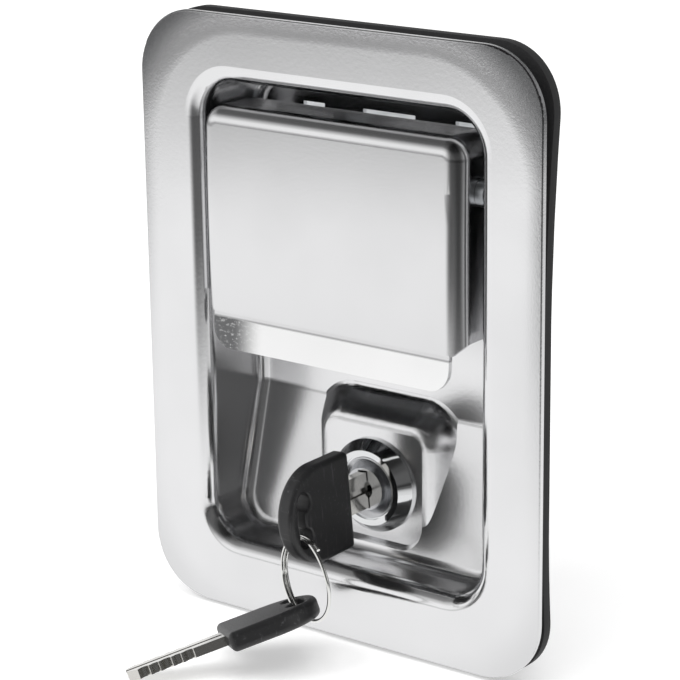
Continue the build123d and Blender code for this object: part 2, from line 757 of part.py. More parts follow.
def lock_plug():
    """Turning plug: dished face, keyway, wafer slots and a square end for the cam."""
    rim = lock_face + 0.3
    body = pin_along_y(plug_r, rim, barrel_back - 0.05)
    dish = Polygon(
        (plug_boss_r, rim - 1), (plug_boss_r, lock_face + plug_dish_depth),
        (plug_r - 0.3, rim), (plug_r - 0.3, rim - 1), align=None)
    body -= revolve(dish, axis=Axis.Y)
    body += pin_along_y(plug_boss_r, lock_face - plug_boss_h, rim)
    body -= block(-keyway_w / 2, keyway_w / 2, lock_face - 2, barrel_back - 3,
                  -keyway_h / 2, keyway_h / 2)
    body -= pin_along_y(keyway_eye_r, lock_face - 2, lock_face - plug_boss_h + keyway_eye_depth)
    for i in range(wafer_count):
        y = wafer_front(i) - running_gap
        body -= block(-wafer_w / 2 - side_gap, wafer_w / 2 + side_gap, y,
                      y + wafer_t + 2 * running_gap, -plug_r - 1, plug_r + 1)
    body = in_lock(body)
    square = Pos(0, lock_z) * Rectangle(shank_square - 0.1, shank_square - 0.1)
    body += slab(square & (Pos(0, lock_z) * Circle(plug_r)), barrel_back - 0.5, cam_back - 0.1)
    return body - pin_along_y(cam_screw_r + running_gap, barrel_back - 2.6, cam_back + 1, 0, lock_z)


def lock_wafers():
    """Flat wafers in the plug, each with a window that the blade passes."""
    pieces = []
    for i in range(wafer_count):
        y = wafer_front(i)
        plate = slab(Rectangle(wafer_w, wafer_h) & Circle(plug_r - 0.1), y, y + wafer_t)
        window = block(-keyway_w / 2, keyway_w / 2, y - 1, y + 2, -keyway_h / 2, keyway_h / 2)
        pieces.append(in_lock(plate - window))
    return pieces


def lock_washer():
    ring = Circle(nut_af / 2 + 0.6) - Circle(barrel_r + side_gap)
    return slab(Pos(0, lock_z) * ring, pad_back, pad_back + washer_t)


def lock_nut():
    y = pad_back + washer_t
    shape = RegularPolygon(nut_af / 2, 6, major_radius=False, rotation=30)
    body = slab(Pos(0, lock_z) * (shape - Circle(barrel_r + running_gap)), y, y + nut_t)
    crown = lathe(Polygon((0, y - 1), (nut_af / 2 + 0.3, y), (nut_af / 2 + 2.2, y + 1.2),
                          (nut_af / 2 + 2.2, y + nut_t - 1.2), (nut_af / 2 + 0.3, y + nut_t),
                          (0, y + nut_t + 1), align=None))
    return body & crown


def lock_cam():
    """Flat cam on the plug's square end; turned up, it stands in the bolt tail's way."""
    hub = Circle(cam_hub_r)
    tip = Pos(cam_length - cam_tip_w / 2, 0) * Circle(cam_tip_w / 2)
    shape = make_hull(hub.edges() + tip.edges()) - Rectangle(shank_square, shank_square)
    return slab(Pos(0, lock_z) * shape, cam_front, cam_back)


def cam_washer():
    ring = Circle(shank_square * 0.68) - Circle(cam_screw_r + side_gap)
    return slab(Pos(0, lock_z) * ring, cam_back, cam_back + washer_t)


def cam_screw():
    y = cam_back + washer_t
    body = pin_along_y(cam_screw_r, barrel_back - 2.0, y, 0, lock_z)
    head = pin_along_y(cam_screw_r + 2.2, y, y + 2.4, 0, lock_z)
    head = fillet(edges_at(head, Axis.Y, y + 2.4), 1.0)
    cross = [Rectangle(4.4, 0.9), Rectangle(0.9, 4.4)]
    for arm in cross:
        head -= slab(Pos(0, lock_z) * arm, y + 1.2, y + 3)
    return body + head


def key_head():
    """Moulded D-shaped head with a curved slot; its front edge lies in the local XZ plane."""
    r = key_head_w / 2
    straight = key_head_length - r
    outline = Pos(-straight, 0) * Circle(r) + Pos(-straight / 2, 0) * Rectangle(
        straight, key_head_w)
    outline -= Pos(r, 0) * Rectangle(2 * r, 3 * r)
    body = bar(outline, -key_head_t / 2, key_head_t / 2)
    corners = [e for e in body.edges().filter_by(Axis.X) if abs(e.center().Y) < 0.01]
    body = fillet(corners, key_corner_r)
    slot = SlotArc(
        CenterArc((0, 0), key_slot_r, 180 - key_slot_arc, 2 * key_slot_arc), key_slot_w)
    for side in (-1, 1):
        turn = radians(side * key_slot_arc)
        slot += Pos(-key_slot_r * cos(turn), key_slot_r * sin(turn)) * Circle(key_slot_end_r)
    body -= bar(Pos(-straight, 0) * slot, -key_head_t, key_head_t)
    faces = [e for side in (-1, 1) for e in edges_at_x(body, side * key_head_t / 2)]
    outer = [e for e in faces if is_outer(e, straight)]
    body = fillet(outer, key_edge_r)
    faces = [e for side in (-1, 1) for e in edges_at_x(body, side * key_head_t / 2)]
    body = fillet([e for e in faces if is_slot_edge(e, straight)], 0.6)
    return body - key_blade()


def is_outer(edge, straight):
    middle = edge @ 0.5
    return middle.Y > -1 or hypot(middle.Y + straight, middle.Z) > key_head_w / 2 - 0.2


def is_slot_edge(edge, straight):
    middle = edge @ 0.5
    return middle.Y < -straight and hypot(middle.Y + straight, middle.Z) < key_head_w / 2 - 0.3 - (
        key_edge_r)


def key_blade():
    """Flat blade cut on both edges, its tang moulded into the head."""
    half = blade_w / 2
    body = block(-blade_t / 2, blade_t / 2, -blade_tang, blade_length, -half, half)
    lead = [e for e in body.edges().filter_by(Axis.X) if e.center().Y > blade_length - 0.1]
    body = chamfer(lead, blade_lead)
    first = blade_length - blade_lead - 1.4
    for i in range(wafer_count):
        y = first - i * wafer_pitch
        deep = blade_cut * (1.0 if i % 2 == 0 else 0.6)
        for side in (-1, 1):
            cut = Polygon(
                (y - 0.4, side * (half - deep)), (y + 0.4, side * (half - deep)),
                (y + 0.4 + deep, side * half), (y + 1.4, side * (half + 1)),
                (y - 1.4, side * (half + 1)), (y - 0.4 - deep, side * half), align=None)
            body -= bar(cut, -blade_t, blade_t)
    groove = block(blade_t / 2 - 0.5, blade_t, 0.3, blade_length + 1, -0.6, 1.0)
    return body - groove


def in_keyway(shape):
    return Pos(0, key_edge_y, lock_z) * Rot(0, -key_lean, 0) * shape


def ring_middle():
    """The ring hangs in the key's slot; its middle follows from where it passes."""
    along = ring_way()
    turn = radians(ring_hang)
    slot_y = key_edge_y - (key_head_length - key_head_w / 2) - key_slot_r * cos(turn)
    drop = key_slot_r * sin(turn)
    passing = Vector(drop * sin(radians(key_lean)), slot_y, lock_z - drop * cos(radians(key_lean)))
    return passing + along * ring_shift - Vector(0, 0, sqrt(ring_r ** 2 - ring_shift ** 2))


def ring_way():
    return Vector(cos(radians(ring_heading)), sin(radians(ring_heading)), 0)


def key_ring():
    """Split ring: two turns of wire side by side with one cross-over."""
    half = ring_pitch / 2
    place = Plane(origin=ring_middle(), x_dir=ring_way(), z_dir=ring_way().cross(Vector(0, 0, 1)))
    flat = 360 - ring_split
    points = []
    for step in range(2 * int(flat / 15) + 3):
        angle = step * 15.0
        rise = min(max((angle - flat) / ring_split, 0.0), 1.0)
        smooth = rise * rise * (3 - 2 * rise)
        turn = radians(angle + ring_start)
        points.append(place.from_local_coords(
            (ring_r * cos(turn), ring_r * sin(turn), half * (2 * smooth - 1))))
    path = Spline(*points)
    return sweep(Plane(origin=path @ 0, z_dir=path % 0) * Circle(ring_wire_r), path=path)


def on_ring(shape):
    """Hang the spare key on the ring by its slot."""
    turn = radians(spare_place)
    passing = ring_middle() + ring_way() * (ring_r * cos(turn)) + Vector(0, 0, ring_r * sin(turn))
    across = spare_up.cross(spare_blade).normalized()
    up = spare_blade.cross(across).normalized()
    straight = key_head_length - key_head_w / 2
    back = straight + key_slot_r * cos(radians(spare_hang)) + spare_slack
    side = key_slot_r * sin(radians(spare_hang))
    origin = passing - up * (key_head_t / 2) + spare_blade.normalized() * back + across * side
    return Plane(origin=origin, x_dir=up, z_dir=across) * shape


os.makedirs("parts", exist_ok=True)
nodes = {
    "pan": pan(),
    "mounting_studs": mounting_studs(),
    "gasket": gasket(),
    "paddle": paddle(),
    "paddle_arm": paddle_arm(),
    "paddle_pin": paddle_pin(),
    "pin_clip": pin_clip(),
    "pivot_bushes": pivot_bushes(),
    "paddle_spring": paddle_spring(),
    "latch_bracket": latch_bracket(),
    "bracket_rivets": bracket_rivets(),
    "lever_post": lever_post(),
    "lever_clip": lever_clip(),
    "release_lever": release_lever(),
    "drive_pin": drive_pin(),
    "latch_bolt": latch_bolt(),
    "bolt_spring": bolt_spring(),
    "spring_guide": spring_guide(),
    "lock_housing": lock_housing(),
    "lock_washer": lock_washer(),
    "lock_nut": lock_nut(),
    "lock_plug": lock_plug(),
    "lock_wafers": lock_wafers(),
    "lock_cam": lock_cam(),
    "cam_washer": cam_washer(),
    "cam_screw": cam_screw(),
    "key_head": in_keyway(key_head()),
    "key_blade": in_keyway(key_blade()),
    "key_ring": key_ring(),
    "spare_key_head": on_ring(key_head()),
    "spare_key_blade": on_ring(key_blade()),
}
for name, shape in nodes.items():
    if isinstance(shape, list):
        shape = Compound(children=shape)
    export_step(shape, f"parts/{name}.step")
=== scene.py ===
from math import cos, pi, radians

import bpy
from mathutils import Matrix, Quaternion, Vector


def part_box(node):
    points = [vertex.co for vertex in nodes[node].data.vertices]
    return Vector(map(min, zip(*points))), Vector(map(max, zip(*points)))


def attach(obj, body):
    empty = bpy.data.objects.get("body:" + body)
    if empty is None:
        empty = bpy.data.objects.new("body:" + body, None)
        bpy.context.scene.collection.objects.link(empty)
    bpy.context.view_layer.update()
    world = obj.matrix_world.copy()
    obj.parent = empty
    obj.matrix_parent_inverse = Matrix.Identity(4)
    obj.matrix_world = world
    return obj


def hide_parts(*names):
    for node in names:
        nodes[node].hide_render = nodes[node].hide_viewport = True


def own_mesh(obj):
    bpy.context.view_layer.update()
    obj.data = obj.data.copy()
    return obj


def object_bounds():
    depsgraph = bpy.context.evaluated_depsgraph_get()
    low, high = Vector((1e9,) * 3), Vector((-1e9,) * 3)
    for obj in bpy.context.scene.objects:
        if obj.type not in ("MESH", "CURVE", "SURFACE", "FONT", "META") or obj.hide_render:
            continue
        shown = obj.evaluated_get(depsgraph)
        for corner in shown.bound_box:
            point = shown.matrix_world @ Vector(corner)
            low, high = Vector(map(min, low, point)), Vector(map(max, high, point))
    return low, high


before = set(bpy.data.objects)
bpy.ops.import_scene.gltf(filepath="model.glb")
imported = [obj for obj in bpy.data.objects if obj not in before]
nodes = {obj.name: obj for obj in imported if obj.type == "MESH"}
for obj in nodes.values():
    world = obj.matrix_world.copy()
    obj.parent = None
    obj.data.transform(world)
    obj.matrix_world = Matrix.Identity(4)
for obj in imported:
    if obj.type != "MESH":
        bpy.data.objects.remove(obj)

cad_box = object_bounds()

# ---- camera ----
# A long lens on a tripod, from the right and a little above, held a touch off level.
# It looks at the middle of the flange from just under 0.6 m.
lens_place = Vector((0.334367, -0.439025, 0.164137))
aim = Vector((0.001494, -0.001200, 0.000573))
roll = radians(-0.7447)
camera = bpy.data.objects.new("camera", bpy.data.cameras.new("camera"))
bpy.context.scene.collection.objects.link(camera)
camera.location = lens_place
look = (aim - lens_place).to_track_quat("-Z", "Y")
camera.rotation_euler = (look @ Quaternion((0, 0, 1), roll)).to_euler()
camera.data.sensor_width = 36.0
camera.data.lens = 138.08
bpy.context.scene.camera = camera

# ---- studio: floor, walls and lamps ----
# A white table in a light tent. The table takes the latch's shadow. Polished metal sees it
# bright near the latch and dim from a metre out, sees lit walls above it, and sees a dark
# opening in both on the side of the lens.
table_half = 4.0
table_gap = 0.0002                        # under the lowest point of the latch
table_in_metal = {                        # by distance from the latch, in metres
    0.004: 0.92, 0.12: 1.0, 0.40: 1.0, 0.72: 0.66, 1.04: 0.36, 3.996: 0.25}
walls_in_metal = {                        # by height, 0 straight down and 1 straight up
    0.001: 0.25, 0.50: 0.50, 0.545: 1.0, 0.66: 1.0, 0.76: 0.66, 0.85: 0.24, 0.999: 0.08}
white = (1, 1, 1, 1)
bpy.context.scene.view_settings.view_transform = "Standard"


def linear(hex_colour):
    """sRGB hex colour as the linear red, green, blue and alpha that shaders take."""
    parts = [int(hex_colour[i:i + 2], 16) / 255 for i in (1, 3, 5)]
    return [c / 12.92 if c <= 0.04045 else ((c + 0.055) / 1.055) ** 2.4 for c in parts] + [1.0]


def add_node(tree, kind, settings=None, values=None, links=None, greys=None):
    """A shader node with its settings, socket values, the outputs that feed it and ramp stops."""
    node = tree.nodes.new(kind)
    for name, value in (settings or {}).items():
        setattr(node, name, value)
    for stop, grey in (greys or {}).items():
        node.color_ramp.elements.new(stop).color = (grey, grey, grey, 1)
    if greys:
        node.color_ramp.interpolation = "EASE"
        node.color_ramp.elements.remove(node.color_ramp.elements[0])
        node.color_ramp.elements.remove(node.color_ramp.elements[-1])
    for name, value in (values or {}).items():
        node.inputs[name].default_value = value
    for name, output in (links or {}).items():
        tree.links.new(output, node.inputs[name])
    return node


def start_material(name):
    """An empty material, its node tree, and the place on the piece that its patterns follow."""
    material = bpy.data.materials.new(name)
    material.use_nodes = True
    tree = material.node_tree
    tree.nodes.clear()
    return material, tree, add_node(tree, "ShaderNodeTexCoord").outputs["Object"]


def seen_directly(tree, rays):
    """1 for what the lens sees itself or through something clear, 0 for reflections and light."""
    return add_node(tree, "ShaderNodeMath", {"operation": "MAXIMUM"}, links={
        0: rays.outputs["Is Camera Ray"], 1: rays.outputs["Is Transmission Ray"]}).outputs[0]


def open_side(tree, way):
    """The tent's opening: near 0 where a way points to the lens's side, 1 all round the rest."""
    to_lens = lens_place - aim
    flat = add_node(tree, "ShaderNodeVectorMath", {"operation": "MULTIPLY"}, {1: (1, 1, 0)},
                    {0: way})
    level = add_node(tree, "ShaderNodeVectorMath", {"operation": "NORMALIZE"},
                     links={0: flat.outputs["Vector"]})
    facing = add_node(tree, "ShaderNodeVectorMath", {"operation": "DOT_PRODUCT"},
                      {1: Vector((to_lens.x, to_lens.y, 0)).normalized()},
                      {0: level.outputs["Vector"]})
    return add_node(tree, "ShaderNodeMapRange", {"interpolation_type": "SMOOTHSTEP"}, {
        "From Min": cos(radians(62)), "From Max": cos(radians(24)), "To Min": 1.0, "To Max": 0.12},
        {"Value": facing.outputs["Value"]}).outputs[0]


bpy.ops.object.select_all(action="DESELECT")
bpy.ops.mesh.primitive_plane_add(size=2 * table_half, location=(0, 0, cad_box[0][2] - table_gap))
floor = bpy.context.object
floor.name = "studio_floor"
bpy.ops.object.transform_apply(location=True)

# Matt white board. It glows less near the latch, so that the shadow there stays deep, and it
# has a brightness of its own in reflections.
white_table, tree, place = start_material("white_table")
rays = add_node(tree, "ShaderNodeLightPath")
away = add_node(tree, "ShaderNodeVectorMath", {"operation": "LENGTH"}, links={0: place})
share = add_node(tree, "ShaderNodeMath", {"operation": "DIVIDE"}, {1: table_half},
                 {0: away.outputs["Value"]})
lit = add_node(tree, "ShaderNodeValToRGB", links={"Fac": share.outputs[0]}, greys={
    metres / table_half: grey for metres, grey in table_in_metal.items()})
far_glow = add_node(tree, "ShaderNodeMapRange", {"interpolation_type": "SMOOTHSTEP"}, {
    "From Min": 0.15, "From Max": 1.2, "To Min": 0.42, "To Max": 0.62},
    {"Value": away.outputs["Value"]})
seen = add_node(tree, "ShaderNodeMath", {"operation": "MULTIPLY"}, links={
    0: seen_directly(tree, rays), 1: far_glow.outputs[0]})
matt = add_node(tree, "ShaderNodeBsdfDiffuse", values={"Color": linear("#E6E6E6")})
glow = add_node(tree, "ShaderNodeEmission", values={"Color": white},
                links={"Strength": seen.outputs[0]})
board = add_node(tree, "ShaderNodeAddShader", links={0: matt.outputs[0], 1: glow.outputs[0]})
further = add_node(tree, "ShaderNodeMapRange", {"interpolation_type": "SMOOTHSTEP"},
                   {"From Min": 0.08, "From Max": 0.34}, {"Value": away.outputs["Value"]})
shaded = add_node(tree, "ShaderNodeMix", values={"A": 1.0}, links={
    "Factor": further.outputs[0], "B": open_side(tree, place)})
in_metal = add_node(tree, "ShaderNodeMath", {"operation": "MULTIPLY"}, links={
    0: lit.outputs["Color"], 1: shaded.outputs["Result"]})
mirrored = add_node(tree, "ShaderNodeEmission", values={"Color": white},
                    links={"Strength": in_metal.outputs[0]})
table = add_node(tree, "ShaderNodeMixShader", links={
    0: rays.outputs["Is Glossy Ray"], 1: board.outputs[0], 2: mirrored.outputs[0]})
add_node(tree, "ShaderNodeOutputMaterial", links={"Surface": table.outputs[0]})
floor.data.materials.append(white_table)

# The tent: an even light on matt pieces, its own walls in polished ones, and white behind.
world = bpy.data.worlds.new("light_tent")
bpy.context.scene.world = world
world.use_nodes = True
tree = world.node_tree
tree.nodes.clear()
rays = add_node(tree, "ShaderNodeLightPath")
way = add_node(tree, "ShaderNodeTexCoord").outputs["Generated"]
height = add_node(tree, "ShaderNodeSeparateXYZ", links={0: way})
level = add_node(tree, "ShaderNodeMapRange", values={"From Min": -1.0, "From Max": 1.0},
                 links={"Value": height.outputs["Z"]})
walls = add_node(tree, "ShaderNodeValToRGB", links={"Fac": level.outputs[0]}, greys=walls_in_metal)
tent = add_node(tree, "ShaderNodeMath", {"operation": "MULTIPLY"}, links={
    0: walls.outputs["Color"], 1: open_side(tree, way)})
lens = seen_directly(tree, rays)
backdrop = add_node(tree, "ShaderNodeMath", {"operation": "MAXIMUM"},
                    links={0: lens, 1: tent.outputs[0]})
lens_or_metal = add_node(tree, "ShaderNodeMath", {"operation": "MAXIMUM"},
                         links={0: lens, 1: rays.outputs["Is Glossy Ray"]})
even_light = add_node(tree, "ShaderNodeBackground", values={"Color": white, "Strength": 0.55})
shown = add_node(tree, "ShaderNodeBackground", values={"Color": white},
                 links={"Strength": backdrop.outputs[0]})
mixed = add_node(tree, "ShaderNodeMixShader", links={
    0: lens_or_metal.outputs[0], 1: even_light.outputs[0], 2: shown.outputs[0]})
add_node(tree, "ShaderNodeOutputWorld", links={"Surface": mixed.outputs[0]})

# Two soft boxes, kept out of reflections.
for name, where, size, watts in (
        ("soft_box_left", (-0.55, -0.75, 0.75), 0.7, 7.0),
        ("soft_box_top", (0.25, -0.35, 1.00), 0.8, 6.0)):
    lamp = bpy.data.objects.new(name, bpy.data.lights.new(name, "AREA"))
    bpy.context.scene.collection.objects.link(lamp)
    lamp.location = where
    lamp.rotation_euler = (aim - Vector(where)).to_track_quat("-Z", "Y").to_euler()
    lamp.data.size = size
    lamp.data.energy = watts
    lamp.visible_glossy = False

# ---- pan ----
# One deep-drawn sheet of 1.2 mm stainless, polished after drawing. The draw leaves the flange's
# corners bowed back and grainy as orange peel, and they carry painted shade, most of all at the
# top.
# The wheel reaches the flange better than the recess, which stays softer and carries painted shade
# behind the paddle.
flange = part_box("pan")[1]                 # top right corner of the flange
corner_square = 0.030                     # squares at the flange's corners that the draw pulls at
corner_from, corner_to = 0.0255, 0.0362   # outwards from such a square's inner corner
any_depth = 1.0                           # more than the pan's, so that depth doesn't count
bow_deep = 0.0008
grain_mm, grain_deep = 0.5, 0.00012


def use_material(material, *names):
    """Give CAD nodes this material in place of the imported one."""
    for name in names:
        mesh = nodes[name].data
        mesh.materials.clear()
        mesh.materials.append(material)


def feeding(node, name):
    """The output that is linked to an input of a node."""
    return node.inputs[name].links[0].from_socket


def sheet_finish(tree, place, bright, dull, gloss, peel_mm, peel):
    """Polished stainless: a cloudy gloss, orange peel and upright hairlines, as one shader.

    Real hairlines are finer. They are drawn 0.3 mm wide, so that they show."""
    cloud_mm, hair_mm, hair_long = 35.0, 0.3, 50.0
    cloud = add_node(tree, "ShaderNodeTexNoise", values={"Scale": 1000 / cloud_mm, "Detail": 3.0},
                     links={"Vector": place})
    tone = add_node(tree, "ShaderNodeMix", {"data_type": "RGBA"},
                    {"A": linear(bright), "B": linear(dull)},
                    {"Factor": cloud.outputs["Fac"]})
    rough = add_node(tree, "ShaderNodeMapRange", values={
        "From Min": 0.3, "From Max": 0.7, "To Min": gloss * 0.8, "To Max": gloss * 1.25},
        links={"Value": cloud.outputs["Fac"]})
    dimples = add_node(tree, "ShaderNodeTexNoise",
                       values={"Scale": 1000 / peel_mm, "Detail": 2.0, "Roughness": 0.5},
                       links={"Vector": place})
    peeled = add_node(tree, "ShaderNodeBump", values={"Strength": peel, "Distance": 0.00004},
                      links={"Height": dimples.outputs["Fac"]})
    drawn_out = add_node(tree, "ShaderNodeMapping", values={"Scale": (1.0, 1.0, 1 / hair_long)},
                         links={"Vector": place})
    hairs = add_node(tree, "ShaderNodeTexNoise", values={"Scale": 1000 / hair_mm, "Detail": 2.0},
                     links={"Vector": drawn_out.outputs[0]})
    marks = add_node(tree, "ShaderNodeBump", values={"Strength": 0.06, "Distance": 0.00001},
                     links={"Height": hairs.outputs["Fac"], "Normal": peeled.outputs[0]})
    return add_node(tree, "ShaderNodeBsdfPrincipled", values={"Metallic": 1.0}, links={
        "Base Color": tone.outputs["Result"], "Roughness": rough.outputs[0],
        "Normal": marks.outputs[0]})


drawn_stainless, tree, place = start_material("polished_drawn_stainless")
metal = sheet_finish(tree, place, "#F0F0F1", "#E4E4E5", gloss=0.15, peel_mm=0.9, peel=0.22)
spot = add_node(tree, "ShaderNodeSeparateXYZ", links={"Vector": place})

# How far a place lies out in a corner, and the bow, grain and painted shade that grow with it.
off_middle = add_node(tree, "ShaderNodeVectorMath", {"operation": "ABSOLUTE"}, links={0: place})
past_field = add_node(tree, "ShaderNodeVectorMath", {"operation": "SUBTRACT"},
                      {1: (flange.x - corner_square, any_depth, flange.z - corner_square)},
                      {0: off_middle.outputs["Vector"]})
in_square = add_node(tree, "ShaderNodeVectorMath", {"operation": "MAXIMUM"}, {1: (0, 0, 0)},
                     {0: past_field.outputs["Vector"]})
out = add_node(tree, "ShaderNodeVectorMath", {"operation": "LENGTH"},
               links={0: in_square.outputs["Vector"]})
top_end = add_node(tree, "ShaderNodeMapRange", {"interpolation_type": "SMOOTHSTEP"}, {
    "From Min": -0.03, "From Max": 0.05, "To Min": 0.15, "To Max": 1.0},
    {"Value": spot.outputs["Z"]})
near_corner = add_node(tree, "ShaderNodeMapRange", {"interpolation_type": "SMOOTHSTEP"},
                       {"From Min": corner_from, "From Max": corner_to},
                       {"Value": out.outputs["Value"]})
corner = add_node(tree, "ShaderNodeMath", {"operation": "MULTIPLY"},
                  links={0: near_corner.outputs[0], 1: top_end.outputs[0]})
bowed = add_node(tree, "ShaderNodeBump", {"invert": True},
                 {"Strength": 1.0, "Distance": bow_deep},
                 {"Height": corner.outputs[0], "Normal": feeding(metal, "Normal")})
grain = add_node(tree, "ShaderNodeTexNoise",
                 values={"Scale": 1000 / grain_mm, "Detail": 3.0, "Roughness": 0.7},
                 links={"Vector": place})
grainy = add_node(tree, "ShaderNodeMapRange", {"interpolation_type": "SMOOTHSTEP"}, {
    "From Min": corner_from - 0.004, "From Max": corner_to, "To Min": 0.0, "To Max": 0.7},
    {"Value": out.outputs["Value"]})
rippled = add_node(tree, "ShaderNodeBump", values={"Distance": grain_deep}, links={
    "Strength": grainy.outputs[0], "Height": grain.outputs["Fac"], "Normal": bowed.outputs[0]})
# Painted shade: the flange's corners, most of all at the top, are mixed towards dark grey.
painted_corner_shade = add_node(tree, "ShaderNodeMath", {"operation": "MULTIPLY"}, {1: 0.85},
                 {0: corner.outputs[0]})
corner_shaded = add_node(tree, "ShaderNodeMix", {"data_type": "RGBA"}, {"B": linear("#4C4D4F")},
                   {"Factor": painted_corner_shade.outputs[0], "A": feeding(metal, "Base Color")})

# The recess: softer from the flange's front down, and darkened with painted shade behind the
# paddle, over the pad.
recessed = add_node(tree, "ShaderNodeMapRange", {"interpolation_type": "SMOOTHSTEP"}, {
    "From Min": -0.0005, "From Max": 0.004, "To Min": 1.0, "To Max": 1.3},
    {"Value": spot.outputs["Y"]})
softer = add_node(tree, "ShaderNodeMath", {"operation": "MULTIPLY"},
                  links={0: feeding(metal, "Roughness"), 1: recessed.outputs[0]})
behind = add_node(tree, "ShaderNodeMapRange", {"interpolation_type": "SMOOTHSTEP"}, {
    "From Min": 0.001, "From Max": 0.005, "To Max": 0.2}, {"Value": spot.outputs["Y"]})
above = add_node(tree, "ShaderNodeMapRange", {"interpolation_type": "SMOOTHSTEP"}, {
    "From Min": -0.008, "From Max": 0.006}, {"Value": spot.outputs["Z"]})
# Painted shade: the recess behind the paddle is mixed towards dark grey.
painted_recess_shade = add_node(tree, "ShaderNodeMath", {"operation": "MULTIPLY"},
                links={0: behind.outputs[0], 1: above.outputs[0]})
recess_shaded = add_node(tree, "ShaderNodeMix", {"data_type": "RGBA"}, {"B": linear("#47484A")},
                  {"Factor": painted_recess_shade.outputs[0], "A": corner_shaded.outputs["Result"]})
for name, output in (("Base Color", recess_shaded.outputs["Result"]), ("Roughness", softer.outputs[0]),
                     ("Normal", rippled.outputs[0])):
    tree.links.new(output, metal.inputs[name])
add_node(tree, "ShaderNodeOutputMaterial", links={"Surface": metal.outputs[0]})
use_material(drawn_stainless, "pan")

# ---- paddle ----
# The same sheet, stamped, bent and polished flatter than the pan. The lip under the crease is
# painted brighter, a painted highlight. Its left end is painted darker, broken by brighter flecks,
# and the bends round the paddle's edges and the crease are darkened with painted shade.
face_y = -0.00395                         # the flat face, from the flange's back
lip_tall = 0.0072
fold_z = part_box("paddle")[0].z + lip_tall   # the fold between the face and the lip
fold_half = 0.0004                        # half the crease's width
lip_blur = 0.0002
bend_deep = 0.006                         # the bends end this far behind the face
fleck_mm = 0.8
stamped_stainless, tree, place = start_material("polished_stamped_stainless")
metal = sheet_finish(tree, place, "#ECECED", "#E2E2E3", gloss=0.17, peel_mm=0.7, peel=0.16)
spot = add_node(tree, "ShaderNodeSeparateXYZ", links={"Vector": place})
on_lip = add_node(tree, "ShaderNodeMapRange", values={
    "From Min": fold_z + lip_blur, "From Max": fold_z - lip_blur},
    links={"Value": spot.outputs["Z"]})
# Painted highlight: the lip is made brighter than the face.
lip_painted_bright = add_node(tree, "ShaderNodeMix", {"data_type": "RGBA"}, {"B": linear("#FBFBFB")}, {
    "Factor": on_lip.outputs[0], "A": feeding(metal, "Base Color")})

# The lip darker towards its left end, broken by brighter flecks.
on_left = add_node(tree, "ShaderNodeMapRange", {"interpolation_type": "SMOOTHSTEP"}, {
    "From Min": -0.018, "From Max": -0.027, "To Max": 0.88}, {"Value": spot.outputs["X"]})
sideways = add_node(tree, "ShaderNodeMapping", values={"Scale": (0.6, 1.0, 1.0)},
                    links={"Vector": place})
fleck_field = add_node(tree, "ShaderNodeTexNoise",
                values={"Scale": 1000 / fleck_mm, "Detail": 6.0, "Roughness": 0.75},
                links={"Vector": sideways.outputs[0]})
flecked = add_node(tree, "ShaderNodeMapRange", values={
    "From Min": 0.54, "From Max": 0.72, "To Min": 1.0, "To Max": 0.3},
    links={"Value": fleck_field.outputs["Fac"]})
lip_end = add_node(tree, "ShaderNodeMath", {"operation": "MULTIPLY"},
                   links={0: on_lip.outputs[0], 1: on_left.outputs[0]})
left_end_dark = add_node(tree, "ShaderNodeMath", {"operation": "MULTIPLY"},
                   links={0: lip_end.outputs[0], 1: flecked.outputs[0]})

# Painted shade on the bends, by depth behind the face, and on the crease.
depth = add_node(tree, "ShaderNodeMapRange", values={
    "From Min": face_y, "From Max": face_y + bend_deep}, links={"Value": spot.outputs["Y"]})
bend_painted_shade = add_node(tree, "ShaderNodeValToRGB", links={"Fac": depth.outputs[0]}, greys={
    0.001: 0.0, 0.08: 0.03, 0.20: 0.55, 0.40: 0.50, 0.60: 0.10, 0.999: 0.05})
off_lip = add_node(tree, "ShaderNodeMath", {"operation": "SUBTRACT"}, {0: 1.0},
                   {1: on_lip.outputs[0]})
bends_shaded = add_node(tree, "ShaderNodeMath", {"operation": "MULTIPLY"},
                links={0: bend_painted_shade.outputs["Color"], 1: off_lip.outputs[0]})
from_fold = add_node(tree, "ShaderNodeMath", {"operation": "SUBTRACT"}, {1: fold_z},
                     {0: spot.outputs["Z"]})
off_fold = add_node(tree, "ShaderNodeMath", {"operation": "ABSOLUTE"},
                    links={0: from_fold.outputs[0]})
crease_painted_shade = add_node(tree, "ShaderNodeMapRange", values={
    "From Min": fold_half, "From Max": 0.0, "To Max": 0.6}, links={"Value": off_fold.outputs[0]})
left_end_or_bends = add_node(tree, "ShaderNodeMath", {"operation": "MAXIMUM"},
                           links={0: left_end_dark.outputs[0], 1: bends_shaded.outputs[0]})
shade_and_dark_end = add_node(tree, "ShaderNodeMath", {"operation": "MAXIMUM"},
                links={0: left_end_or_bends.outputs[0], 1: crease_painted_shade.outputs[0]})
# Painted shade on the bends and crease, with the lip's darker left end, mixed towards dark grey.
shaded_paddle_tone = add_node(tree, "ShaderNodeMix", {"data_type": "RGBA"}, {"B": linear("#404143")},
                  {"Factor": shade_and_dark_end.outputs[0], "A": lip_painted_bright.outputs["Result"]})
tree.links.new(shaded_paddle_tone.outputs["Result"], metal.inputs["Base Color"])
add_node(tree, "ShaderNodeOutputMaterial", links={"Surface": metal.outputs[0]})
use_material(stamped_stainless, "paddle")

